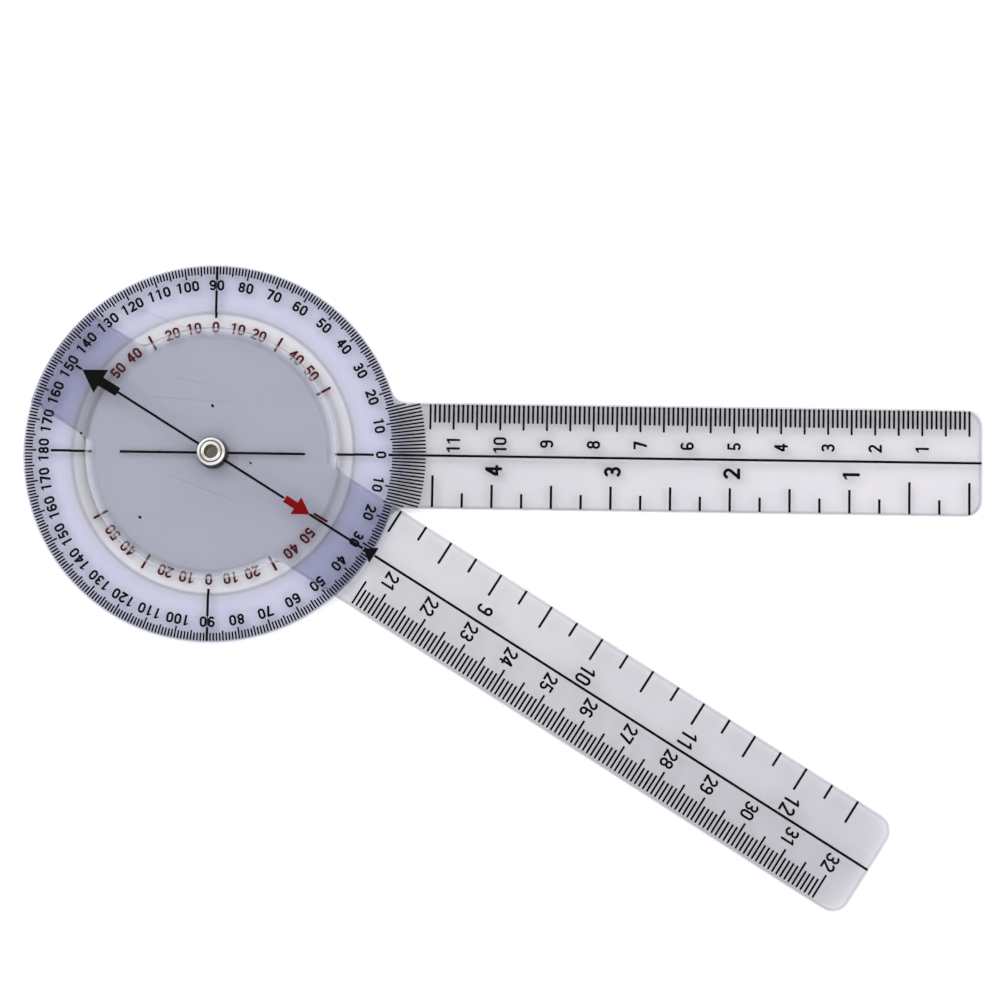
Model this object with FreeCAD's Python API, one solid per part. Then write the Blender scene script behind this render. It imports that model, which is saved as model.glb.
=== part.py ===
import FreeCAD, Part
import math
import os

# Two-arm joint-angle goniometer: a full-circle protractor head with a fixed arm, and a moving
# arm riveted over it. Millimetres. The pivot axis is Z through the origin, the underside of the
# fixed arm is z = 0, the fixed arm points along +X and the 90 degree mark is on +Y.

V = FreeCAD.Vector
UP = V(0, 0, 1)
ORIGIN = V(0, 0, 0)

# ---- driving dimensions -------------------------------------------------------------------
INCH = 25.4
REST_ANGLE = -31.55         # moving arm against the fixed arm, as shown
SHEET = 1.5                 # thickness of both arms
HALF = 11.45                # half the width of the fixed arm
MOVING_HALF = 11.6          # and of the moving arm
MOVING_SIDE = -0.27         # its sheet is cut this far to one side of the pivot's centre line
EDGE = 0.2                  # chamfer on the outer edges of both arms
INK = 0.04                  # thickness of the printed ink film

HEAD_R = 40.82              # protractor head
FIXED_REACH = 164.7         # pivot to the tip of the fixed arm
FIXED_TIP_R = 3.5
FIXED_NECK_R = 3.5          # fillet between the head and the arm
RECESS_R = 30.3             # round recess in the top of the head
RECESS_FLOOR = 1.0          # height of its floor
RECESS_DRAFT = 0.5          # the wall leans out by this much
BOSS_R = 3.1                # round pad in the middle of the recess, which carries the moving arm
BOSS_TOP = 1.55

GAP = 0.1                   # fixed arm's top face to the moving arm's underside
HUB_R = 27.2                # round hub of the moving arm
HUB_NECK_R = 3.0
HUB_BEVEL_R = 25.3          # a bevel runs round the underside of the hub's rim from here
HUB_BEVEL_H = 0.8
TAIL_R = 40.5               # the tail ends in an arc about the pivot
TAIL_CORNER = 0.6
MOVING_REACH = 165.2
MOVING_TIP_R = 4.0
MOVING_Z = SHEET + GAP
MOVING_TOP = MOVING_Z + SHEET

EYELET_R = 2.0              # outside of the eyelet's tube
EYELET_HOLE_R = 1.4
EYELET_HEAD_R = 3.4         # flange at the back, sunk into the fixed arm
EYELET_HEAD_T = 0.3
SINK_R = 3.7                # counterbore for the flange
SINK_DEPTH = 0.33
PIVOT_FIT = 0.05            # radial clearance of both bores on the tube
WASHER_R = 3.1
WASHER_FIT = 0.03
WASHER_T = 0.4
WASHER_CROWN = 0.12         # its face is crowned by this much outside the rolled rim
WASHER_Z = MOVING_TOP + 0.03
RIM_R = 2.25                # rolled rim on top of the washer

RULE_ZERO = 161.8           # the printed rulers' zero on the fixed arm, from the pivot
RULER_HALF = 11.1           # the rulers on both arms are printed within this half width
PRINT_INSET = 0.3           # lines that run to a tip end this far inside it


# ---- plane outlines -----------------------------------------------------------------------
def line(a, b):
    return Part.LineSegment(a, b).toShape()


def arc3(a, m, b):
    return Part.Arc(a, m, b).toShape()


def on_circle(r, deg, centre=ORIGIN):
    t = math.radians(deg)
    return centre + V(r * math.cos(t), r * math.sin(t), 0)


def face_of(edges):
    return Part.Face(Part.Wire(edges))


def mirrored(points):
    return [V(p.x, -p.y, 0) for p in points]


def neck(radius, half, fillet):
    """Tangent points and centre of the fillet between a round hub and the arm's +Y edge."""
    cx = math.sqrt((radius + fillet) ** 2 - (half + fillet) ** 2)
    centre = V(cx, half + fillet, 0)
    on_hub = centre * (radius / (radius + fillet))
    on_edge = V(cx, half, 0)
    direction = (on_hub - centre).normalize() + (on_edge - centre).normalize()
    middle = centre + direction.normalize() * fillet
    return on_hub, middle, on_edge


def tip_half(reach, half, corner):
    """Points of the +Y half of a rounded tip: start of the corner, its middle, its end."""
    start = V(reach - corner, half, 0)
    middle = on_circle(corner, 45, V(reach - corner, half - corner, 0))
    end = V(reach, half - corner, 0)
    return start, middle, end


def fixed_outline():
    on_head, bend, on_edge = neck(HEAD_R, HALF, FIXED_NECK_R)
    c0, c1, c2 = tip_half(FIXED_REACH, HALF, FIXED_TIP_R)
    low = mirrored([on_head, bend, on_edge, c0, c1, c2])
    return face_of([
        arc3(on_head, V(-HEAD_R, 0, 0), low[0]),
        arc3(low[0], low[1], low[2]),
        line(low[2], low[3]),
        arc3(low[3], low[4], low[5]),
        line(low[5], c2),
        arc3(c2, c1, c0),
        line(c0, on_edge),
        arc3(on_edge, bend, on_head),
    ])


def tail_corner():
    """Rounded corner between the tail's arc and the arm's +Y edge."""
    r = TAIL_CORNER
    cx = -math.sqrt((TAIL_R - r) ** 2 - (MOVING_HALF - r) ** 2)
    centre = V(cx, MOVING_HALF - r, 0)
    on_edge = V(cx, MOVING_HALF, 0)
    on_arc = centre * (TAIL_R / (TAIL_R - r))
    direction = (on_edge - centre).normalize() + (on_arc - centre).normalize()
    middle = centre + direction.normalize() * r
    return on_edge, middle, on_arc


def moving_outline():
    on_hub, bend, on_edge = neck(HUB_R, MOVING_HALF, HUB_NECK_R)
    c0, c1, c2 = tip_half(MOVING_REACH, MOVING_HALF, MOVING_TIP_R)
    back_hub = V(-on_hub.x, on_hub.y, 0)
    back_bend = V(-bend.x, bend.y, 0)
    back_edge = V(-on_edge.x, on_edge.y, 0)
    t0, t1, t2 = tail_corner()
    top = V(0, HUB_R, 0)
    points = [c2, c1, c0, on_edge, bend, on_hub, top, back_hub, back_bend, back_edge, t0, t1, t2]
    low = mirrored(points)
    edges = []
    for side in (points, low):
        p2, p1, p0, e, b, h, apex, bh, bb, be, k0, k1, k2 = side
        edges.append(arc3(p2, p1, p0))
        edges.append(line(p0, e))
        edges.append(arc3(e, b, h))
        edges.append(arc3(h, apex, bh))
        edges.append(arc3(bh, bb, be))
        edges.append(line(be, k0))
        edges.append(arc3(k0, k1, k2))
    edges.append(arc3(t2, V(-TAIL_R, 0, 0), low[12]))
    edges.append(line(low[0], c2))
    return Part.Face(Part.Wire(Part.__sortEdges__(edges)))


def plate(outline, z, thickness):
    base = outline.copy()
    base.translate(V(0, 0, z))
    return base.extrude(V(0, 0, thickness))


def chamfer_rims(solid, levels, size):
    """Chamfer every edge lying in the given horizontal planes."""
    edges = []
    for e in solid.Edges:
        box = e.BoundBox
        for z in levels:
            if abs(box.ZMin - z) < 1e-4 and abs(box.ZMax - z) < 1e-4:
                edges.append(e)
    return solid.makeChamfer(size, edges)


# ---- the two arms and the pivot -----------------------------------------------------------
def fixed_arm():
    body = chamfer_rims(plate(fixed_outline(), 0, SHEET), (0, SHEET), EDGE)
    depth = SHEET - RECESS_FLOOR
    wall_r = RECESS_R + RECESS_DRAFT * (depth + 1.0) / depth
    cutter = Part.makeCone(RECESS_R, wall_r, depth + 1.0, V(0, 0, RECESS_FLOOR), UP)
    body = body.cut(cutter)
    body = body.fuse(Part.makeCylinder(BOSS_R, BOSS_TOP - RECESS_FLOOR + 0.1, V(0, 0, RECESS_FLOOR - 0.1)))
    body = body.cut(Part.makeCylinder(EYELET_R + PIVOT_FIT, 6, V(0, 0, -1)))
    body = body.cut(Part.makeCylinder(SINK_R, SINK_DEPTH + 1, V(0, 0, -1)))
    return body.removeSplitter()


def hub_bevel():
    """What the bevel takes off the underside of the hub's rim, outside the arm's width."""
    far = HUB_R + 6
    low = MOVING_Z - 1
    slope = (HUB_R - HUB_BEVEL_R) / HUB_BEVEL_H
    cone = Part.makeCone(HUB_BEVEL_R - slope, HUB_R, HUB_BEVEL_H + 1, V(0, 0, low), UP)
    outside = Part.makeCylinder(far, HUB_BEVEL_H + 1, V(0, 0, low)).cut(cone)
    return outside.cut(Part.makeBox(2 * far, 2 * MOVING_HALF, 10, V(-far, -MOVING_HALF, low - 1)))


def moving_arm():
    body = chamfer_rims(plate(moving_outline(), MOVING_Z, SHEET), (MOVING_Z, MOVING_TOP), EDGE)
    body = body.cut(hub_bevel())
    body.translate(V(0, MOVING_SIDE, 0))
    body = body.cut(Part.makeCylinder(EYELET_R + PIVOT_FIT, 6, V(0, 0, 0)))
    return body.removeSplitter()


def revolved(points, arcs=()):
    """Revolve an (r, z) outline about Z. arcs maps a side's index to its middle point."""
    at = [V(r, 0, z) for r, z in points]
    middles = dict(arcs)
    edges = []
    for i, p in enumerate(at):
        q = at[(i + 1) % len(at)]
        if i in middles:
            r, z = middles[i]
            edges.append(arc3(p, V(r, 0, z), q))
        else:
            edges.append(line(p, q))
    return face_of(edges).revolve(ORIGIN, UP, 360)


def eyelet():
    """Hollow rivet: flange at the back, tube, and a rim rolled over the washer."""
    z1 = EYELET_HEAD_T
    seat = WASHER_Z + WASHER_T
    roll = (RIM_R - EYELET_HOLE_R) / 2
    return revolved(
        [
            (EYELET_HOLE_R, 0),
            (EYELET_HEAD_R - 0.1, 0),
            (EYELET_HEAD_R, 0.1),
            (EYELET_HEAD_R, z1),
            (EYELET_R, z1),
            (EYELET_R, seat),
            (RIM_R, seat),
            (EYELET_HOLE_R, seat),
        ],
        {6: (EYELET_HOLE_R + roll, seat + roll)},
    )


def washer():
    """Ring with a crowned face, which dips to a crease beside the eyelet's rolled rim."""
    r0 = EYELET_R + WASHER_FIT
    z0 = WASHER_Z
    z1 = WASHER_Z + WASHER_T
    edge = 0.05
    crease = RIM_R + 0.05
    return revolved(
        [
            (r0, z0),
            (WASHER_R - edge, z0),
            (WASHER_R, z0 + edge),
            (WASHER_R, z1 - 2 * WASHER_CROWN),
            (crease, z1),
            (r0, z1),
        ],
        {3: ((WASHER_R + crease) / 2, z1 + WASHER_CROWN)},
    )


# ---- printed numerals ---------------------------------------------------------------------
def polygon(points, t=INK):
    at = [V(x, y, 0) for x, y in points]
    edges = []
    for i, p in enumerate(at):
        edges.append(line(p, at[(i + 1) % len(at)]))
    return face_of(edges).extrude(V(0, 0, t))


def bar(x0, y0, x1, y1):
    return polygon([(x0, y0), (x1, y0), (x1, y1), (x0, y1)])


def stroke(x0, y0, x1, y1, width):
    """Straight pen stroke with square ends."""
    length = math.hypot(x1 - x0, y1 - y0)
    nx = -(y1 - y0) / length * width / 2
    ny = (x1 - x0) / length * width / 2
    return polygon([(x0 + nx, y0 + ny), (x0 - nx, y0 - ny), (x1 - nx, y1 - ny), (x1 + nx, y1 + ny)])


def ring(cx, cy, r, width):
    c = V(cx, cy, 0)
    outer = Part.makeCylinder(r + width / 2, INK, c)
    return outer.cut(Part.makeCylinder(r - width / 2, INK, c))


def bend(cx, cy, r, start, end, width):
    """Curved pen stroke from one angle to a larger one."""
    c = V(cx, cy, 0)
    r0 = r - width / 2
    r1 = r + width / 2
    mid = (start + end) / 2
    return face_of([
        arc3(on_circle(r1, start, c), on_circle(r1, mid, c), on_circle(r1, end, c)),
        line(on_circle(r1, end, c), on_circle(r0, end, c)),
        arc3(on_circle(r0, end, c), on_circle(r0, mid, c), on_circle(r0, start, c)),
        line(on_circle(r0, start, c), on_circle(r1, start, c)),
    ]).extrude(V(0, 0, INK))


def digit(name, h, s, w):
    """One numeral of height h, stroke s and width w, its lower left corner at the origin."""
    k = s / 2
    r = (w - s) / 2
    mid = w / 2
    if name == "0":
        return [
            bend(mid, h - k - r, r, 0, 180, s),
            bend(mid, k + r, r, 180, 360, s),
            bar(0, k + r, s, h - k - r),
            bar(w - s, k + r, w, h - k - r),
        ]
    if name == "1":
        x = w * 0.72
        return [
            bar(x - s, 0, x, h),
            polygon([(x - s, 0.80 * h), (x - s, 0.97 * h), (x - s - 0.20 * h, 0.83 * h),
                     (x - s - 0.20 * h, 0.70 * h)]),
        ]
    if name == "2":
        cy = h - k - r
        # the slope leaves the bow at a tangent and meets the foot at its left end
        fx = k * 1.1
        reach = math.hypot(fx - mid, k - cy)
        leave = math.degrees(math.atan2(k - cy, fx - mid) + math.acos(r / reach))
        p = on_circle(r, leave, V(mid, cy, 0))
        return [
            bend(mid, cy, r, leave, 172, s),
            stroke(p.x, p.y, fx, k, s),
            bar(0, 0, w, s),
        ]
    if name == "3":
        r1 = (h - s) * 0.24
        r2 = (h - s) * 0.26
        return [
            bend(mid, h - k - r1, r1, -90, 165, s),
            bend(mid, k + r2, r2, -165, 90, s),
            bar(mid - 0.10 * h, 2 * r2, mid, 2 * r2 + s),
        ]
    if name == "4":
        x = w * 0.80
        return [
            bar(x - s, 0, x, h),
            bar(0, 0.22 * h, w, 0.22 * h + s),
            polygon([(0, 0.22 * h + s * 0.5), (0, 0.22 * h + s * 1.25), (x - s, h), (x - s * 0.5, h),
                     (x - s * 0.5, h - s * 1.3), (s * 0.85, 0.22 * h + s * 0.5)]),
        ]
    if name == "5":
        rb = min(r, (h - s) * 0.285)
        cy = k + rb
        ax = mid + rb * math.cos(math.radians(140))
        ay = cy + rb * math.sin(math.radians(140))
        return [
            bend(mid, cy, rb, -160, 140, s),
            polygon([(ax - k * 1.1, ay - k * 0.4), (ax + k * 0.7, ay - k * 0.4),
                     (ax + k * 1.15, h), (ax - k * 0.5, h)]),
            bar(ax, h - s, w * 0.93, h),
        ]
    if name in ("6", "9"):
        rb = min(r, (h - s) * 0.285)
        pieces = [
            ring(mid, k + rb, rb, s),
            bar(mid - rb - k, k + rb, mid - rb + k, h - k - rb),
            bend(mid, h - k - rb, rb, 25, 180, s),
        ]
        if name == "9":
            for p in pieces:
                p.rotate(V(mid, h / 2, 0), UP, 180)
        return pieces
    if name == "7":
        return [
            bar(0, h - s, w, h),
            polygon([(w - s * 1.2, h - s), (w, h - s), (w * 0.30 + s, 0), (w * 0.30 - s * 0.1, 0)]),
        ]
    r1 = (h - s) * 0.24
    r2 = (h - s) * 0.26
    return [ring(mid, h - k - r1, r1, s), ring(mid, k + r2, r2, s)]


class Numerals:
    """A set of numerals of one size, each drawn once and then copied."""

    def __init__(self, height, weight, width, pitch):
        self.height = height
        self.width = width
        self.pitch = pitch
        self.drawn = {}
        for name in "0123456789":
            pieces = digit(name, height, weight, width)
            self.drawn[name] = pieces[0].multiFuse(pieces[1:]).removeSplitter()

    def text(self, word):
        """The word's solids, centred on the origin, upright along +Y."""
        out = []
        for i, name in enumerate(word):
            shape = self.drawn[name].copy()
            x = (i - (len(word) - 1) / 2) * self.pitch - self.width / 2
            shape.translate(V(x, -self.height / 2, 0))
            out.append(shape)
        return out


def placed(shapes, x, y, z, turn):
    """Turn the shapes about Z and move them to a place on a face."""
    for s in shapes:
        s.rotate(ORIGIN, UP, turn)
        s.translate(V(x, y, z))
    return shapes


def radial_bar(r0, r1, deg, width, z):
    """Bar from one radius to another at a bearing about the pivot."""
    shape = bar(r0, -width / 2, r1, width / 2)
    shape.rotate(ORIGIN, UP, deg)
    shape.translate(V(0, 0, z))
    return shape


def stepped_bar(r0, r1, deg, width):
    """Bar across the head that runs down the recess's wall from the top face to its floor."""
    top = RECESS_R + RECESS_DRAFT
    back = INK * math.tan(math.atan2(SHEET - RECESS_FLOOR, RECESS_DRAFT) / 2)
    profile = [
        (r0, RECESS_FLOOR),
        (RECESS_R, RECESS_FLOOR),
        (top, SHEET),
        (r1, SHEET),
        (r1, SHEET + INK),
        (top - back, SHEET + INK),
        (RECESS_R - back, RECESS_FLOOR + INK),
        (r0, RECESS_FLOOR + INK),
    ]
    at = [V(r, -width / 2, z) for r, z in profile]
    edges = []
    for i, p in enumerate(at):
        edges.append(line(p, at[(i + 1) % len(at)]))
    shape = face_of(edges).extrude(V(0, width, 0))
    shape.rotate(ORIGIN, UP, deg)
    return shape


def cross_bar(x, y0, y1, width, z):
    """Tick across the arm at distance x from the pivot."""
    shape = bar(x - width / 2, min(y0, y1), x + width / 2, max(y0, y1))
    shape.translate(V(0, 0, z))
    return shape


# ---- print on the fixed arm ---------------------------------------------------------------
TICK_R = HEAD_R - 0.35      # outer ends of the degree ticks
TICK_W = 0.36
TICK_TEN = 2.5              # length of a tick at a whole ten degrees
FAN_R = 46.0                # their outer ends where the arm leaves the head
NUMBER_R = 36.38
NUMBER_H = 2.3
NUMBER_W = 1.5
NUMBER_PITCH = 1.75
LINE_W = 0.54


def degree_ticks():
    out = []
    skip = (0, 90, 270)
    for deg in range(360):
        if deg in skip:
            continue
        if deg % 10 == 0:
            length = TICK_TEN
        elif deg % 5 == 0:
            length = 2.1
        else:
            length = 1.7
        off = min(deg, 360 - deg)
        outer = TICK_R
        if off <= 15:
            outer = max(TICK_R, min(FAN_R, RULER_HALF / math.sin(math.radians(off))))
        out.append(radial_bar(TICK_R - length, outer, deg, TICK_W, SHEET))
    return out


def degree_numbers():
    font = Numerals(NUMBER_H, 0.47, NUMBER_W, NUMBER_PITCH)
    out = []
    for value in range(0, 181, 10):
        for sign in (1, -1):
            if value in (0, 180) and sign < 0:
                continue
            deg = sign * value
            p = on_circle(NUMBER_R, deg)
            out += placed(font.text(str(value)), p.x, p.y, SHEET, deg - 90)
    return out


RED_R = 27.3
RED_LENGTH = 3.45


def complement_numbers():
    """Inner scale: 0 at right angles to the arm, counting both ways."""
    font = Numerals(2.4, 0.46, 1.5, 1.72)
    out = []
    for centre in (90, 270):
        for value in (0, 10, 20, 40, 50):
            for sign in (1, -1):
                if value == 0 and sign < 0:
                    continue
                deg = centre + sign * value
                p = on_circle(RED_R, deg)
                out += placed(font.text(str(value)), p.x, p.y, RECESS_FLOOR, deg - 90)
    return out


def complement_bars():
    out = []
    for centre in (90, 270):
        for value in (30, 60):
            for sign in (1, -1):
                deg = centre + sign * value
                r0 = RED_R - RED_LENGTH / 2
                out.append(radial_bar(r0, r0 + RED_LENGTH, deg, LINE_W, RECESS_FLOOR))
    return out


def reference_lines():
    """Cross lines of the head. Those at 90 degrees narrow to pass between a number's figures."""
    low = NUMBER_R - NUMBER_H / 2
    high = NUMBER_R + NUMBER_H / 2
    gap = 0.02
    out = []
    for deg in (90, 270):
        out.append(stepped_bar(29.3, low - gap, deg, LINE_W))
        out.append(radial_bar(low, high, deg, NUMBER_PITCH - NUMBER_W - 2 * gap, SHEET))
        out.append(radial_bar(high + gap, TICK_R, deg, LINE_W, SHEET))
    for deg, start in ((0, 26.4), (180, 26.0)):
        out.append(stepped_bar(start, 34.8, deg, LINE_W))
        out.append(radial_bar(BOSS_R + 0.1, 20.0, deg, LINE_W, RECESS_FLOOR))
    return out


def fixed_centre_line():
    return [radial_bar(TICK_R - TICK_TEN, FIXED_REACH - PRINT_INSET, 0, LINE_W, SHEET)]


def fixed_cm_ticks():
    out = []
    for mm in range(0, 116):
        length = 5.45 if mm % 5 == 0 else 3.95
        out.append(cross_bar(RULE_ZERO - mm, RULER_HALF, RULER_HALF - length, 0.47, SHEET))
    return out


def fixed_cm_numbers():
    font = Numerals(2.9, 0.5, 1.68, 1.84)
    out = []
    for cm in range(1, 12):
        y = 2.8 if cm < 10 else 2.4
        out += placed(font.text(str(cm)), RULE_ZERO - 10 * cm, y, SHEET, 90)
    return out


def fixed_inch_ticks():
    out = []
    for quarter in range(0, 19):
        if quarter in (0, 2, 18):
            length = 6.85
        elif quarter % 2 == 0:
            length = 5.0
        else:
            length = 3.1
        x = RULE_ZERO - quarter * INCH / 4
        out.append(cross_bar(x, -RULER_HALF, length - RULER_HALF, 0.53, SHEET))
    return out


def fixed_inch_numbers():
    font = Numerals(3.65, 0.67, 2.3, 2.5)
    out = []
    for inch in range(1, 5):
        out += placed(font.text(str(inch)), RULE_ZERO - inch * INCH + 0.35, -3.0, SHEET, 90)
    return out


# ---- print on the moving arm, drawn along +X ----------------------------------------------
def on_rule(mm):
    """Distance from the pivot of a reading on the ruler that runs on from the fixed arm."""
    return mm - RULE_ZERO


LINE_START = 25.2
POINTER_TIP = 39.0
POINTER_BASE = 41.6


def moving_centre_line():
    z = MOVING_TOP
    start = WASHER_R + 0.1
    return [
        radial_bar(LINE_START, POINTER_TIP - 0.2, 0, LINE_W, z),
        radial_bar(POINTER_BASE + 0.1, MOVING_REACH - PRINT_INSET, 0, LINE_W, z),
        radial_bar(start, 18.7, 0, LINE_W, z),
        radial_bar(start, 24.0, 180, LINE_W, z),
        radial_bar(33.3, 34.9, 180, LINE_W, z),
    ]


def moving_cm_ticks():
    out = []
    for mm in range(205, 321):
        length = 5.55 if mm % 5 == 0 else 4.0
        out.append(cross_bar(on_rule(mm), -RULER_HALF, length - RULER_HALF, 0.45, MOVING_TOP))
    return out


def moving_cm_numbers():
    font = Numerals(3.05, 0.5, 1.72, 1.9)
    out = []
    for cm in range(21, 33):
        out += placed(font.text(str(cm)), on_rule(10 * cm) - 0.65, -2.85, MOVING_TOP, -90)
    return out


def moving_inch_ticks():
    out = []
    for quarter in range(32, 51):
        length = 5.25 if quarter % 2 == 0 else 3.4
        x = on_rule(quarter * INCH / 4)
        out.append(cross_bar(x, RULER_HALF, RULER_HALF - length, 0.52, MOVING_TOP))
    return out


def moving_inch_numbers():
    font = Numerals(3.55, 0.54, 1.85, 1.98)
    out = []
    for inch in range(9, 13):
        y = 2.65 if inch > 9 else 2.95
        out += placed(font.text(str(inch)), on_rule(inch * INCH) + 1.05, y, MOVING_TOP, -90)
    return out


def arrow(x_shaft, x_head, x_tip, shaft, head, z):
    """Flat arrow along X from the shaft's end to the tip."""
    shape = polygon([
        (x_shaft, -shaft / 2),
        (x_head, -shaft / 2),
        (x_head, -head / 2),
        (x_tip, 0),
        (x_head, head / 2),
        (x_head, shaft / 2),
        (x_shaft, shaft / 2),
    ])
    shape.translate(V(0, 0, z))
    return shape


def tail_arrow():
    return [arrow(-24.0, -28.4, -33.2, 2.0, 5.9, MOVING_TOP)]


def red_arrow():
    return [arrow(18.9, 21.7, 25.3, 1.6, 4.3, MOVING_TOP)]


def pointer():
    shape = polygon([(POINTER_TIP, 0), (POINTER_BASE, -1.95), (POINTER_BASE, 1.95)])
    shape.translate(V(0, 0, MOVING_TOP))
    return [shape]


# ---- export -------------------------------------------------------------------------------
FIXED = {
    "fixed_arm": fixed_arm,
    "pivot_eyelet": eyelet,
    "pivot_washer": washer,
    "print_degree_ticks": degree_ticks,
    "print_degree_numbers": degree_numbers,
    "print_complement_numbers": complement_numbers,
    "print_complement_bars": complement_bars,
    "print_reference_lines": reference_lines,
    "print_fixed_centre_line": fixed_centre_line,
    "print_fixed_cm_ticks": fixed_cm_ticks,
    "print_fixed_cm_numbers": fixed_cm_numbers,
    "print_fixed_inch_ticks": fixed_inch_ticks,
    "print_fixed_inch_numbers": fixed_inch_numbers,
}
MOVING = {
    "moving_arm": moving_arm,
    "print_moving_centre_line": moving_centre_line,
    "print_moving_cm_ticks": moving_cm_ticks,
    "print_moving_cm_numbers": moving_cm_numbers,
    "print_moving_inch_ticks": moving_inch_ticks,
    "print_moving_inch_numbers": moving_inch_numbers,
    "print_tail_arrow": tail_arrow,
    "print_red_arrow": red_arrow,
    "print_pointer": pointer,
}

os.makedirs("parts", exist_ok=True)
for group, turn in ((FIXED, 0.0), (MOVING, REST_ANGLE)):
    for name, make in group.items():
        shape = make()
        if isinstance(shape, list):
            shape = Part.makeCompound(shape)
        shape.rotate(ORIGIN, UP, turn)
        shape.exportStep("parts/" + name + ".step")
        print(name, len(shape.Solids), "solids", shape.isValid(), round(shape.Volume, 2), "mm3")
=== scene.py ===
import math

import bpy
from mathutils import Matrix, Vector


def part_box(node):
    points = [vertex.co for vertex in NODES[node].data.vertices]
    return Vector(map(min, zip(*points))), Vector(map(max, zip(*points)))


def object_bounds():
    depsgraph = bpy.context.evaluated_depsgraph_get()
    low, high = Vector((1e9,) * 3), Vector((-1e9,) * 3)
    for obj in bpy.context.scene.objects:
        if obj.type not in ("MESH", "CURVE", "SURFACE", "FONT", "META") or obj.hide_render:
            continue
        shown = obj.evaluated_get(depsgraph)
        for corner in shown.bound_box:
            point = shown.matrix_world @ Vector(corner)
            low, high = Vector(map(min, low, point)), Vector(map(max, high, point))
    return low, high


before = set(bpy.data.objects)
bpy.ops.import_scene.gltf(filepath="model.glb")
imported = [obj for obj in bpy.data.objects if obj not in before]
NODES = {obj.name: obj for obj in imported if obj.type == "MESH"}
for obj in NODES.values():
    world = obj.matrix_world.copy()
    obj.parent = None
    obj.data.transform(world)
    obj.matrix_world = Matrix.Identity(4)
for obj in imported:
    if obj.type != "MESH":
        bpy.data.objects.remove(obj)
cad_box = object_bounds()

MM = 0.001

# Shape of the part, in metres. Only the first two lengths can be read from a node's box.
HEAD_R = -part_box("fixed_arm")[0].x
FIXED_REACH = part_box("fixed_arm")[1].x
FIXED_HALF = 11.45 * MM
MOVING_REACH = 165.2 * MM
MOVING_HALF = 11.6 * MM
MOVING_SIDE = -0.27 * MM
TIP_R = 3.7 * MM
REST_ANGLE = math.radians(-31.55)


# ---- small node-tree helpers --------------------------------------------------------------
def set_stops(bar, stops):
    """Gives a colour ramp its (position, colour) stops, eased between."""
    bar.interpolation = "EASE"
    bar.elements.remove(bar.elements[1])
    bar.elements[0].position = stops[0][0]
    bar.elements[0].color = (*stops[0][1], 1.0)
    for place, colour in stops[1:]:
        bar.elements.new(place).color = (*colour, 1.0)


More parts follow.
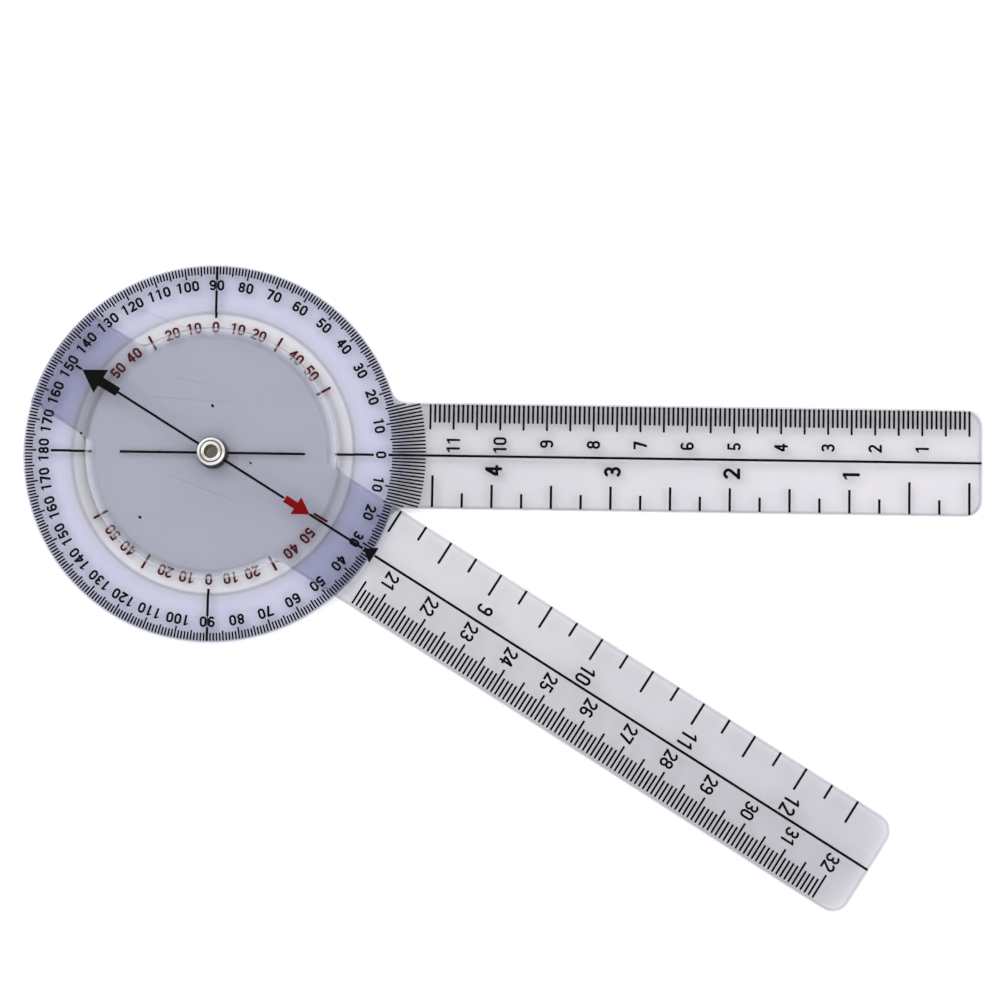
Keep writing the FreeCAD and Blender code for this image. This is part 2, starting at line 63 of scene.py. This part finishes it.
class Tree:
    """Builds one material's nodes with short calls."""

    def __init__(self, name):
        self.mat = bpy.data.materials.new(name)
        self.mat.use_nodes = True
        self.nt = self.mat.node_tree
        self.nt.nodes.clear()
        self.out = self.nt.nodes.new("ShaderNodeOutputMaterial")
        self.coord = self.nt.nodes.new("ShaderNodeTexCoord")
        self.at = self.coord.outputs["Object"]

    def put(self, socket, value):
        if isinstance(value, bpy.types.NodeSocket):
            self.nt.links.new(value, socket)
        elif isinstance(value, (tuple, list)) and socket.type == "RGBA" and len(value) == 3:
            socket.default_value = (*value, 1.0)
        else:
            socket.default_value = value

    def math(self, op, a, b=0.0, clamp=False):
        n = self.nt.nodes.new("ShaderNodeMath")
        n.operation = op
        n.use_clamp = clamp
        self.put(n.inputs[0], a)
        self.put(n.inputs[1], b)
        return n.outputs[0]

    def vmath(self, op, a, b=(0, 0, 0)):
        n = self.nt.nodes.new("ShaderNodeVectorMath")
        n.operation = op
        self.put(n.inputs[0], a)
        self.put(n.inputs[1], b)
        return n.outputs["Value"] if op in ("LENGTH", "DISTANCE") else n.outputs["Vector"]

    def split(self, vector):
        n = self.nt.nodes.new("ShaderNodeSeparateXYZ")
        self.put(n.inputs[0], vector)
        return n.outputs

    def step(self, value, low, high):
        """0 below low, 1 above high, smooth between."""
        n = self.nt.nodes.new("ShaderNodeMapRange")
        n.interpolation_type = "SMOOTHSTEP"
        self.put(n.inputs["Value"], value)
        n.inputs["From Min"].default_value = low
        n.inputs["From Max"].default_value = high
        return n.outputs["Result"]

    def remap(self, value, low, high, to_low, to_high):
        n = self.nt.nodes.new("ShaderNodeMapRange")
        self.put(n.inputs["Value"], value)
        n.inputs["From Min"].default_value = low
        n.inputs["From Max"].default_value = high
        n.inputs["To Min"].default_value = to_low
        n.inputs["To Max"].default_value = to_high
        return n.outputs["Result"]

    def mix(self, share, a, b, blend="MIX"):
        n = self.nt.nodes.new("ShaderNodeMix")
        n.data_type = "RGBA"
        n.blend_type = blend
        self.put(n.inputs[0], share)
        self.put(n.inputs[6], a)
        self.put(n.inputs[7], b)
        return n.outputs[2]

    def ramp(self, value, stops, span):
        """Colour along a value from 0 to span, given as (value, colour) stops."""
        n = self.nt.nodes.new("ShaderNodeValToRGB")
        set_stops(n.color_ramp, [(place / span, colour) for place, colour in stops])
        self.put(n.inputs[0], self.math("DIVIDE", value, span))
        return n.outputs[0]

    def noise(self, scale, detail=3.0, rough=0.5, at=None, stretch=None):
        where = self.at if at is None else at
        if stretch:
            where = self.vmath("MULTIPLY", where, stretch)
        n = self.nt.nodes.new("ShaderNodeTexNoise")
        self.put(n.inputs["Vector"], where)
        n.inputs["Scale"].default_value = scale
        n.inputs["Detail"].default_value = detail
        n.inputs["Roughness"].default_value = rough
        return n.outputs["Fac"]

    def turned(self, vector, angle):
        """A vector turned about Z by an angle in radians."""
        n = self.nt.nodes.new("ShaderNodeVectorRotate")
        n.rotation_type = "Z_AXIS"
        self.put(n.inputs["Vector"], vector)
        n.inputs["Angle"].default_value = angle
        return n.outputs[0]

    def flat_radius(self, where=None, side=0.0):
        """Distance from the pivot axis, or from a parallel axis a little to one side."""
        flat = self.vmath("MULTIPLY", self.at if where is None else where, (1, 1, 0))
        return self.vmath("LENGTH", self.vmath("SUBTRACT", flat, (0, side, 0)))

    def depth_inside(self, where, reach, half, corner, side=0.0):
        """Distance in from the outline of an arm with rounded corners."""
        x, y, _ = self.split(self.vmath("ABSOLUTE", self.vmath("SUBTRACT", where, (0, side, 0))))
        qx = self.math("SUBTRACT", x, reach - corner)
        qy = self.math("SUBTRACT", y, half - corner)
        px = self.math("MAXIMUM", qx, 0.0)
        py = self.math("MAXIMUM", qy, 0.0)
        square = self.math("ADD", self.math("MULTIPLY", px, px), self.math("MULTIPLY", py, py))
        round_part = self.math("SQRT", square)
        straight_part = self.math("MINIMUM", self.math("MAXIMUM", qx, qy), 0.0)
        return self.math("SUBTRACT", corner, self.math("ADD", round_part, straight_part))

    def bell(self, value, centre, width):
        """1 at the centre, falling smoothly to 0 at a width either side."""
        return self.step(self.math("ABSOLUTE", self.math("SUBTRACT", value, centre)), width, 0.0)

    def bump(self, height, distance, strength=1.0, under=None):
        n = self.nt.nodes.new("ShaderNodeBump")
        self.put(n.inputs["Height"], height)
        n.inputs["Distance"].default_value = distance
        n.inputs["Strength"].default_value = strength
        if under is not None:
            self.put(n.inputs["Normal"], under)
        return n.outputs[0]

    def blended(self, share, a, b):
        """Shader a with a share of shader b mixed in."""
        n = self.nt.nodes.new("ShaderNodeMixShader")
        self.put(n.inputs[0], share)
        self.put(n.inputs[1], a)
        self.put(n.inputs[2], b)
        return n.outputs[0]

    def principled(self, **values):
        n = self.nt.nodes.new("ShaderNodeBsdfPrincipled")
        for key, value in values.items():
            self.put(n.inputs[key.replace("_", " ")], value)
        return n.outputs[0]

    def done(self, shader):
        self.nt.links.new(shader, self.out.inputs["Surface"])
        return self.mat


# ---- clear plastic ------------------------------------------------------------------------
def scratches(t, at, scale, angle, keep):
    """Fine straight scratches in one direction: a noise stretched a long way along it."""
    line = t.noise(scale, 2.0, 0.5, at=t.turned(at, angle), stretch=(0.025, 1.0, 1.0))
    return t.step(line, keep, keep + 0.03)


def long_mark(t, where, x, y, angle, length, width):
    """One long hairline scratch, centred at (x, y) on the arm, fading towards its ends."""
    from_centre = t.vmath("SUBTRACT", where, (x * MM, y * MM, 0))
    along, across, _ = t.split(t.turned(from_centre, -math.radians(angle)))
    fade = t.bell(along, 0.0, length / 2 * MM)
    return t.math("MULTIPLY", fade, t.bell(across, 0.0, width * MM))


def clear_plastic(name, region, direction, specks, long_marks):
    """Thin clear moulding of the arm that points in a direction, given in radians.

    region gives the tint of one face and how frosted it is; the frosting is a painted highlight
    where the hub's rim glints, lit by the lamps. Light passes two faces of each arm on its way
    down and two on its way up, so the colour seen is the tint to the fourth power.
    """
    t = Tree(name)
    where = t.turned(t.at, -direction)
    tint, glint_frost = region(t, where)
    # slight cloudiness of the moulded sheet
    cloud = t.noise(55.0, 4.0, 0.55, at=where)
    haze = t.mix(1.0, tint, (0.978, 0.976, 0.985), "MULTIPLY")
    tint = t.mix(t.remap(cloud, 0.3, 0.7, 0.0, 0.6), tint, haze)
    # upright walls are seen through much more plastic
    up = t.math("ABSOLUTE", t.split(t.coord.outputs["Normal"])[2])
    wall = t.math("SUBTRACT", 1.0, t.step(up, 0.35, 0.6))
    tint = t.mix(wall, tint, WALL)
    marks = t.math(
        "MAXIMUM",
        scratches(t, where, 420.0, 0.35, 0.74),
        scratches(t, where, 300.0, -0.9, 0.755))
    for x, y, angle, length, width in long_marks:
        marks = t.math("MAXIMUM", marks, long_mark(t, where, x, y, angle, length, width))
    tint = t.mix(t.math("MULTIPLY", marks, SCRATCH_DEPTH), tint, SCRATCH)
    for x, y, r in specks:
        away = t.vmath("DISTANCE", t.vmath("MULTIPLY", where, (1, 1, 0)), (x * MM, y * MM, 0))
        dot = t.step(away, r * MM, r * 0.55 * MM)
        tint = t.mix(dot, tint, SPECK)
    waves = t.noise(28.0, 2.0, 0.4, at=where)
    fine = t.noise(900.0, 2.0, 0.5, at=where)
    normal = t.bump(waves, 0.00012, 0.35)
    normal = t.bump(fine, 0.000004, 0.5, under=normal)
    clear = t.nt.nodes.new("ShaderNodeBsdfTransparent")
    t.put(clear.inputs["Color"], tint)
    gloss = t.nt.nodes.new("ShaderNodeBsdfGlossy")
    t.put(gloss.inputs["Color"], (1.0, 1.0, 1.0))
    polish = t.remap(fine, 0.3, 0.7, 0.03, 0.07)
    dull = t.math("ADD", t.math("MULTIPLY", marks, 0.2), t.math("MULTIPLY", glint_frost, 0.6))
    t.put(gloss.inputs["Roughness"], t.math("ADD", polish, dull))
    t.put(gloss.inputs["Normal"], normal)
    # the same reflectance from both sides of a face, because the slab doesn't bend the rays
    facing = t.nt.nodes.new("ShaderNodeLayerWeight")
    facing.inputs["Blend"].default_value = 0.5
    t.put(facing.inputs["Normal"], normal)
    grazing = t.math("POWER", facing.outputs["Facing"], 5.0)
    share = t.math("ADD", HEAD_ON, t.math("MULTIPLY", grazing, 1.0 - HEAD_ON))
    mixed = t.blended(share, clear.outputs[0], gloss.outputs[0])
    # the frosting's white diffuse share paints the hub rim's glint
    white = t.nt.nodes.new("ShaderNodeBsdfDiffuse")
    t.put(white.inputs["Color"], GLINT_FROST_WHITE)
    return t.done(t.blended(glint_frost, mixed, white.outputs[0]))


# Tints of one face. The head is a little bluer than the arms, and denser outside its recess.
# The recess floor has FLOOR under the hub and a lighter tint past it, painted light that offsets
# the hub's cast shadow. To the left and to the right of the hub it has painted shade instead, the
# shade of the hub's rim, as (radius in mm, tint).
ARM_NEAR = (0.884, 0.881, 0.891)
ARM_FAR = (0.912, 0.907, 0.917)
MOVING_NEAR = (0.889, 0.887, 0.895)
MOVING_FAR = (0.862, 0.860, 0.876)
RING = (0.857, 0.860, 0.909)
# painted shade: the dark line where the recess wall bends the light, and a darker band just
# outside it
SHOULDER_PAINTED_SHADE = (0.843, 0.843, 0.885)
RECESS_WALL_PAINTED_SHADE = (0.760, 0.757, 0.790)
FLOOR = (0.880, 0.880, 0.901)
FLOOR_PAINTED_LIGHTER = (0.909, 0.907, 0.916)
FLOOR_LEFT_PAINTED_SHADE = [
    (27.6, (0.765, 0.765, 0.776)),
    (28.9, (0.832, 0.833, 0.843)),
    (29.7, (0.862, 0.863, 0.873)),
]
FLOOR_RIGHT_PAINTED_SHADE = [
    (27.6, (0.800, 0.800, 0.815)),
    (28.9, (0.878, 0.878, 0.892)),
    (29.9, (0.892, 0.892, 0.905)),
]
HUB = (0.978, 0.982, 1.000)
STRIP = (0.955, 0.959, 1.000)
# painted shade lines at the inner edge of the hub's bevel and at its rim
HUB_SHADE = (0.905, 0.908, 0.930)
RIM_SHADE = (0.800, 0.800, 0.830)
# painted shade line along the arms' outlines, where the edges bend the light
EDGE_PAINTED_SHADE = (0.885, 0.885, 0.895)
WALL = (0.62, 0.62, 0.66)
SCRATCH = (0.42, 0.42, 0.46)
SPECK = (0.06, 0.06, 0.08)
# white of the frosting that paints the hub rim's glint
GLINT_FROST_WHITE = (0.80, 0.80, 0.81)
SCRATCH_DEPTH = 0.16        # how much of the scratch tint shows
SPAN = 50.0                 # reach of the radial tint profiles, in mm
EDGE_IN = 0.45 * MM         # the dark line runs this far inside an arm's outline
ARM_START = 45 * MM         # the arms change from their near tint to their far one from here
HEAD_ON = 0.039             # share of light that clear plastic reflects head on
# the frosted band at the hub's rim is a painted highlight, lit by the lamps
BEVEL_UP = 0.922            # how far the bevel under the hub's rim faces down
GLINT_FROST = 0.24                # how white the bevel is at its brightest
# Specks are x, y and radius; long marks are x, y, angle in degrees, length and half width. All
# lengths are in mm, along and across the arm from the pivot.
FIXED_SPECKS = [(-28.6, 3.9, 0.3)]
MOVING_SPECKS = [(-5.3, 8.5, 0.34), (-5.3, -20.0, 0.34), (8.4, 2.5, 0.26)]
LONG_MARKS = [(-10.0, 7.1, 28.0, 30.0, 0.18), (-12.5, 10.5, 20.0, 14.0, 0.14)]


def edge_shaded(t, tint, depth, share):
    """The tint with a painted shade line beside the outline, where a share lets it show."""
    line = t.math("MULTIPLY", t.bell(depth, EDGE_IN, EDGE_IN), share)
    return t.mix(line, tint, t.mix(1.0, tint, EDGE_PAINTED_SHADE, "MULTIPLY"))


def fixed_region(t, where):
    """Tint of the fixed arm's moulding, with painted shade and painted light on the recess floor
    and painted shade beside the outline; it isn't frosted anywhere.
    """
    r = t.math("DIVIDE", t.flat_radius(), MM)
    x = t.split(where)[0]
    # painted shade at the recess wall and just outside it, then the ring's own tint
    outside = [
        (30.45, RECESS_WALL_PAINTED_SHADE),
        (30.6, RECESS_WALL_PAINTED_SHADE),
        (31.0, SHOULDER_PAINTED_SHADE),
        (33.0, RING),
        (39.8, RING),
        (44.0, ARM_NEAR),
    ]
    # the floor's painted shade, the shade of the hub's rim, lies either side of the hub, along
    # the arm's line; elsewhere past the hub the floor is painted lighter
    upper = t.ramp(r, [(26.9, FLOOR), (27.4, FLOOR_PAINTED_LIGHTER), (29.9, FLOOR_PAINTED_LIGHTER)] + outside, SPAN)
    left = t.ramp(r, [(26.9, FLOOR)] + FLOOR_LEFT_PAINTED_SHADE + outside, SPAN)
    right = t.ramp(r, [(26.9, FLOOR)] + FLOOR_RIGHT_PAINTED_SHADE + outside, SPAN)
    aslant = t.math("DIVIDE", x, t.math("MULTIPLY", r, MM))
    tint = t.mix(t.step(aslant, 0.70, 0.90), upper, right)
    tint = t.mix(t.step(aslant, -0.70, -0.90), tint, left)
    tint = t.mix(t.step(x, ARM_START, FIXED_REACH), tint, ARM_FAR)
    depth = t.depth_inside(where, FIXED_REACH, FIXED_HALF, TIP_R)
    return edge_shaded(t, tint, depth, t.step(x, HEAD_R, HEAD_R + 3 * MM)), 0.0


def moving_region(t, where):
    """Tint, with painted shade, and the frosting that paints the hub rim's glint, of the moving
    arm's moulding.
    """
    r = t.math("DIVIDE", t.flat_radius(where, MOVING_SIDE), MM)
    x, y, _ = t.split(where)
    across = t.math("ABSOLUTE", t.math("SUBTRACT", y, MOVING_SIDE))
    arm = t.ramp(r, [
        (30.2, HUB),
        (31.4, STRIP),
        (40.2, STRIP),
        (41.4, MOVING_NEAR),
    ], SPAN)
    arm = t.mix(t.step(x, ARM_START, MOVING_REACH), arm, MOVING_FAR)
    depth = t.depth_inside(where, MOVING_REACH, MOVING_HALF, TIP_R, MOVING_SIDE)
    arm = edge_shaded(t, arm, depth, t.step(r, 28.0, 31.0))
    # the bevel under the hub's rim is frosted white towards the rim, a painted highlight where
    # the rim glints, lit by the lamps, with a painted shade line on both sides of it
    rim = t.ramp(r, [
        (24.7, HUB),
        (25.3, HUB_SHADE),
        (25.6, HUB_SHADE),
        (26.1, HUB),
        (26.9, HUB),
        (27.15, RIM_SHADE),
    ], SPAN)
    beside = t.step(across, MOVING_HALF - 0.3 * MM, MOVING_HALF + 0.3 * MM)
    up = t.math("ABSOLUTE", t.split(t.coord.outputs["Normal"])[2])
    bevel = t.bell(up, BEVEL_UP, 0.06)
    white = t.ramp(r, [
        (25.9, (0.0, 0.0, 0.0)),
        (26.4, (0.06, 0.06, 0.06)),
        (26.75, (GLINT_FROST, GLINT_FROST, GLINT_FROST)),
        (26.95, (GLINT_FROST, GLINT_FROST, GLINT_FROST)),
        (27.15, (0.03, 0.03, 0.03)),
    ], SPAN)
    glint_frost = t.math("MULTIPLY", t.math("MULTIPLY", beside, bevel), white)
    return t.mix(beside, arm, rim), glint_frost


fixed_plastic = clear_plastic("Clear_Plastic_Fixed", fixed_region, 0.0, FIXED_SPECKS, [])
moving_plastic = clear_plastic(
    "Clear_Plastic_Moving", moving_region, REST_ANGLE, MOVING_SPECKS, LONG_MARKS)


# ---- inks ---------------------------------------------------------------------------------
def ink(name, colour, thin):
    """Pad-print ink: satin, slightly uneven in depth, with a faint grain."""
    t = Tree(name)
    grain = t.noise(2600.0, 3.0, 0.6)
    body = t.noise(300.0, 2.0, 0.5)
    base = t.mix(t.remap(grain, 0.35, 0.7, 0.0, 0.55), colour, thin)
    base = t.mix(t.remap(body, 0.4, 0.75, 0.0, 0.3), base, thin)
    rough = t.remap(grain, 0.3, 0.7, 0.45, 0.65)
    return t.done(t.principled(
        Base_Color=base, Roughness=rough, Specular_IOR_Level=0.05,
        Normal=t.bump(grain, 0.00001, 0.6)))


black_ink = ink("Black_Ink", (0.0008, 0.0008, 0.001), (0.003, 0.003, 0.0035))
red_scale_ink = ink("Dark_Red_Ink", (0.045, 0.002, 0.004), (0.075, 0.006, 0.008))
red_ink = ink("Red_Ink", (0.125, 0.0005, 0.001), (0.16, 0.002, 0.003))


# ---- plated metal -------------------------------------------------------------------------
def plated(name, base, worn, rough, dark):
    """Nickel plate over brass: turned rings, tarnish, and rings painted dark as shade in the
    crevices and at the edges.

    dark lists those rings as (radius, half width, depth of the dark), lengths in mm.
    """
    t = Tree(name)
    r = t.math("DIVIDE", t.flat_radius(), MM)
    rings = t.nt.nodes.new("ShaderNodeTexNoise")
    rings.noise_dimensions = "1D"
    t.put(rings.inputs["W"], t.math("MULTIPLY", r, 9.0))
    rings.inputs["Scale"].default_value = 1.0
    rings.inputs["Detail"].default_value = 3.0
    stain = t.noise(700.0, 4.0, 0.6)
    colour = t.mix(t.step(stain, 0.48, 0.68), base, worn)
    # inside the tube the plating has gone brown, most of all where no light reaches
    height = t.split(t.at)[2]
    low = t.step(height, RIM_TOP, RIM_TOP - 0.5 * MM)
    inside = t.math("MULTIPLY", low, t.step(r, 1.8, 1.45))
    patch = t.mix(t.step(t.noise(1500.0, 4.0, 0.65), 0.42, 0.6), TUBE_BROWN, TUBE_BRASS)
    colour = t.mix(inside, colour, patch)
    # painted shade: dark rings in the crevices between the parts and at their edges
    for radius, half, depth in dark:
        colour = t.mix(t.math("MULTIPLY", t.bell(r, radius, half), depth), colour, CREVICE_SHADE)
    return t.done(t.principled(
        Base_Color=colour, Metallic=1.0,
        Roughness=t.remap(rings.outputs["Fac"], 0.3, 0.7, rough - 0.05, rough + 0.09),
        Normal=t.bump(rings.outputs["Fac"], 0.000008, 0.5)))


RIM_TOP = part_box("pivot_eyelet")[1].z
TUBE_BROWN = (0.50, 0.41, 0.30)
TUBE_BRASS = (0.94, 0.87, 0.73)
CREVICE_SHADE = (0.03, 0.028, 0.025)
eyelet_metal = plated(
    "Plated_Eyelet", (0.68, 0.67, 0.65), (0.50, 0.45, 0.37), 0.30,
    [(2.2, 0.16, 0.95), (1.45, 0.12, 0.85)])
washer_metal = plated(
    "Plated_Washer", (0.66, 0.66, 0.66), (0.54, 0.53, 0.50), 0.34,
    [(2.32, 0.20, 0.97), (3.06, 0.16, 0.95)])


# ---- finishes onto the CAD nodes ----------------------------------------------------------
def finish_of(name):
    if name == "fixed_arm":
        return fixed_plastic
    if name == "moving_arm":
        return moving_plastic
    if name == "pivot_eyelet":
        return eyelet_metal
    if name == "pivot_washer":
        return washer_metal
    if name == "print_red_arrow":
        return red_ink
    if name in ("print_complement_numbers", "print_complement_bars"):
        return red_scale_ink
    return black_ink


for name, node in NODES.items():
    material = finish_of(name)
    if not node.material_slots:
        node.data.materials.append(material)
    for slot in node.material_slots:
        slot.material = material


# ---- floor, light and camera --------------------------------------------------------------
def floor_material():
    t = Tree("Floor_White")
    spread = t.noise(9.0, 3.0, 0.5)
    base = t.mix(t.remap(spread, 0.3, 0.7, 0.0, 1.0), (0.86, 0.86, 0.865), (0.875, 0.875, 0.88))
    return t.done(t.principled(Base_Color=base, Roughness=0.85, Specular_IOR_Level=0.1))


FLOOR_Z = cad_box[0].z - 0.1 * MM       # just clear of the part's underside
bpy.ops.mesh.primitive_plane_add(size=6.0, location=(0.06, 0.0, FLOOR_Z))
floor = bpy.context.object
floor.name = "Stage_Floor"
floor.data.materials.append(floor_material())

WORLD_LIGHT = 1.38
# (height of the direction, light) from the horizon to straight overhead
WORLD_STOPS = [(0.0, (0.74, 0.745, 0.76)), (0.45, (1.0, 1.0, 1.0)), (0.89, (1.0, 1.0, 1.0)),
               (0.962, (0.01, 0.01, 0.012))]


def studio_world():
    """Bright tent all round, with the dark opening overhead that a camera looks through."""
    world = bpy.data.worlds.new("Studio")
    world.use_nodes = True
    nt = world.node_tree
    nt.nodes.clear()
    out = nt.nodes.new("ShaderNodeOutputWorld")
    back = nt.nodes.new("ShaderNodeBackground")
    coord = nt.nodes.new("ShaderNodeTexCoord")
    split = nt.nodes.new("ShaderNodeSeparateXYZ")
    ramp = nt.nodes.new("ShaderNodeValToRGB")
    set_stops(ramp.color_ramp, WORLD_STOPS)
    nt.links.new(coord.outputs["Generated"], split.inputs[0])
    nt.links.new(split.outputs[2], ramp.inputs[0])
    nt.links.new(ramp.outputs[0], back.inputs["Color"])
    nt.links.new(back.outputs[0], out.inputs[0])
    back.inputs["Strength"].default_value = WORLD_LIGHT
    return world


bpy.context.scene.world = studio_world()


def softbox(name, at, aim, size, power):
    data = bpy.data.lights.new(name, "AREA")
    data.shape = "SQUARE"
    data.size = size
    data.energy = power
    lamp = bpy.data.objects.new(name, data)
    bpy.context.scene.collection.objects.link(lamp)
    lamp.location = at
    lamp.rotation_euler = (Vector(aim) - Vector(at)).to_track_quat("-Z", "Y").to_euler()


AIM = (0.05, -0.02, 0.0)
softbox("Key", (-0.55, 0.60, 0.90), AIM, 0.9, 6.0)
softbox("Fill", (0.80, -0.35, 0.85), AIM, 0.9, 4.0)

# The camera stands over the arms, about six degrees to the near side of straight above.
camera = bpy.data.objects.new("Camera", bpy.data.cameras.new("Camera"))
bpy.context.scene.collection.objects.link(camera)
bpy.context.scene.camera = camera
right = Vector((0.99927378, 0.01826992, -0.03343830)).normalized()
ahead = Vector((-0.03515551, 0.10357489, -0.99400017)).normalized()
upward = right.cross(ahead)
stand = Vector((0.08413, -0.07444, 0.62624))
camera.matrix_world = Matrix((
    (right.x, upward.x, -ahead.x, stand.x),
    (right.y, upward.y, -ahead.y, stand.y),
    (right.z, upward.z, -ahead.z, stand.z),
    (0, 0, 0, 1)))
SENSOR = 36.0               # mm
FIELD = 19.2897             # degrees across the picture
camera.data.sensor_width = SENSOR
camera.data.lens = SENSOR / 2 / math.tan(math.radians(FIELD) / 2)
camera.data.clip_start = 0.01
camera.data.clip_end = 20.0

bpy.context.scene.view_settings.view_transform = "Standard"
bpy.context.scene.view_settings.look = "None"
